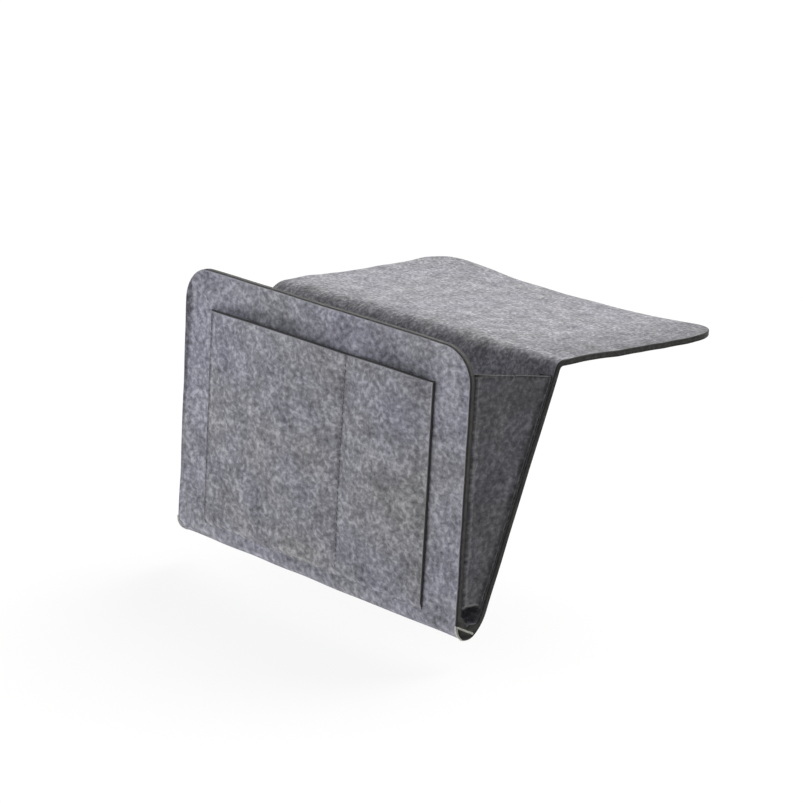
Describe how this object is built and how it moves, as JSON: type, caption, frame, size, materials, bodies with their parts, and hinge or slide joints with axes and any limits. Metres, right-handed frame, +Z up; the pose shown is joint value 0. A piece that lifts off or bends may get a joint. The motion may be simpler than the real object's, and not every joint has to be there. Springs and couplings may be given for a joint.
{
  "type": "bedside caddy",
  "caption": "Felt caddy that hangs from a bed by a wide flap under the mattress, with an open wedge pouch, folding side gussets and a divided patch pocket.",
  "frame": {"origin": "middle of the underside of the flap's flat root, which lies on the edge of the bed base", "axes": "+Z up, +X along the caddy's width, +Y from the pouch towards the flap's far edge, under the mattress"},
  "size_m": [0.3236, 0.298, 0.225],
  "materials": {
    "main_felt": "thick mottled grey felt",
    "pocket_felt": "thinner mottled grey felt",
    "gusset_felt": "thinner mottled grey felt",
    "grey_thread": "matt sewing thread",
    "pale_thread": "pale twisted thread"
  },
  "bodies": {
    "flap": {"mattress_flap": "main_felt"},
    "back": {"back_panel": "main_felt", "top_bend": "main_felt", "bottom_fold": "main_felt", "right_rear_flange": "gusset_felt", "right_rear_seam": "grey_thread", "right_end_tack": "pale_thread", "left_rear_flange": "gusset_felt", "left_rear_seam": "grey_thread", "left_end_tack": "pale_thread"},
    "front": {"front_panel": "main_felt", "front_pocket": "pocket_felt", "pocket_edge_seam": "grey_thread", "pocket_divider_seam": "grey_thread", "right_front_flange": "gusset_felt", "right_front_seam": "grey_thread", "left_front_flange": "gusset_felt", "left_front_seam": "grey_thread"},
    "right_rear_half": {"right_rear_web": "gusset_felt"},
    "right_front_half": {"right_front_web": "gusset_felt"},
    "left_rear_half": {"left_rear_web": "gusset_felt"},
    "left_front_half": {"left_front_web": "gusset_felt"}
  },
  "joints": [
    {"name": "flap_bend", "type": "hinge", "parent": "flap", "child": "back", "pos_m": [0, -0.01515, -0.004], "axis": [1, 0, 0], "range_deg": [-65, 105], "deforming": ["top_bend"]},
    {"name": "front_fold", "type": "hinge", "parent": "back", "child": "front", "pos_m": [0, -0.10023, -0.183], "axis": [-1, 0, 0], "range_deg": [0, 18], "stiffness_Nm_per_rad": 0.3, "deforming": ["right_front_web", "left_front_web"]},
    {"name": "right_rear_hinge", "type": "hinge", "parent": "back", "child": "right_rear_half", "pos_m": [0.157, -0.07125, -0.12466], "axis": [0, -0.3338, -0.9426], "range_deg": [0, 82.1]},
    {"name": "right_front_hinge", "type": "hinge", "parent": "front", "child": "right_front_half", "pos_m": [0.157, -0.10463, -0.08], "axis": [0, 0, 1], "range_deg": [0, 82.1]},
    {"name": "left_rear_hinge", "type": "hinge", "parent": "back", "child": "left_rear_half", "pos_m": [-0.157, -0.07125, -0.12466], "axis": [0, 0.3338, 0.9426], "range_deg": [0, 82.1]},
    {"name": "left_front_hinge", "type": "hinge", "parent": "front", "child": "left_front_half", "pos_m": [-0.157, -0.10463, -0.08], "axis": [0, 0, -1], "range_deg": [0, 82.1]}
  ],
  "couplings": [
    {"joint": "right_rear_hinge", "follows": "front_fold", "ratio": 4.5556},
    {"joint": "right_front_hinge", "follows": "front_fold", "ratio": 4.5556},
    {"joint": "left_rear_hinge", "follows": "front_fold", "ratio": 4.5556},
    {"joint": "left_front_hinge", "follows": "front_fold", "ratio": 4.5556}
  ]
}
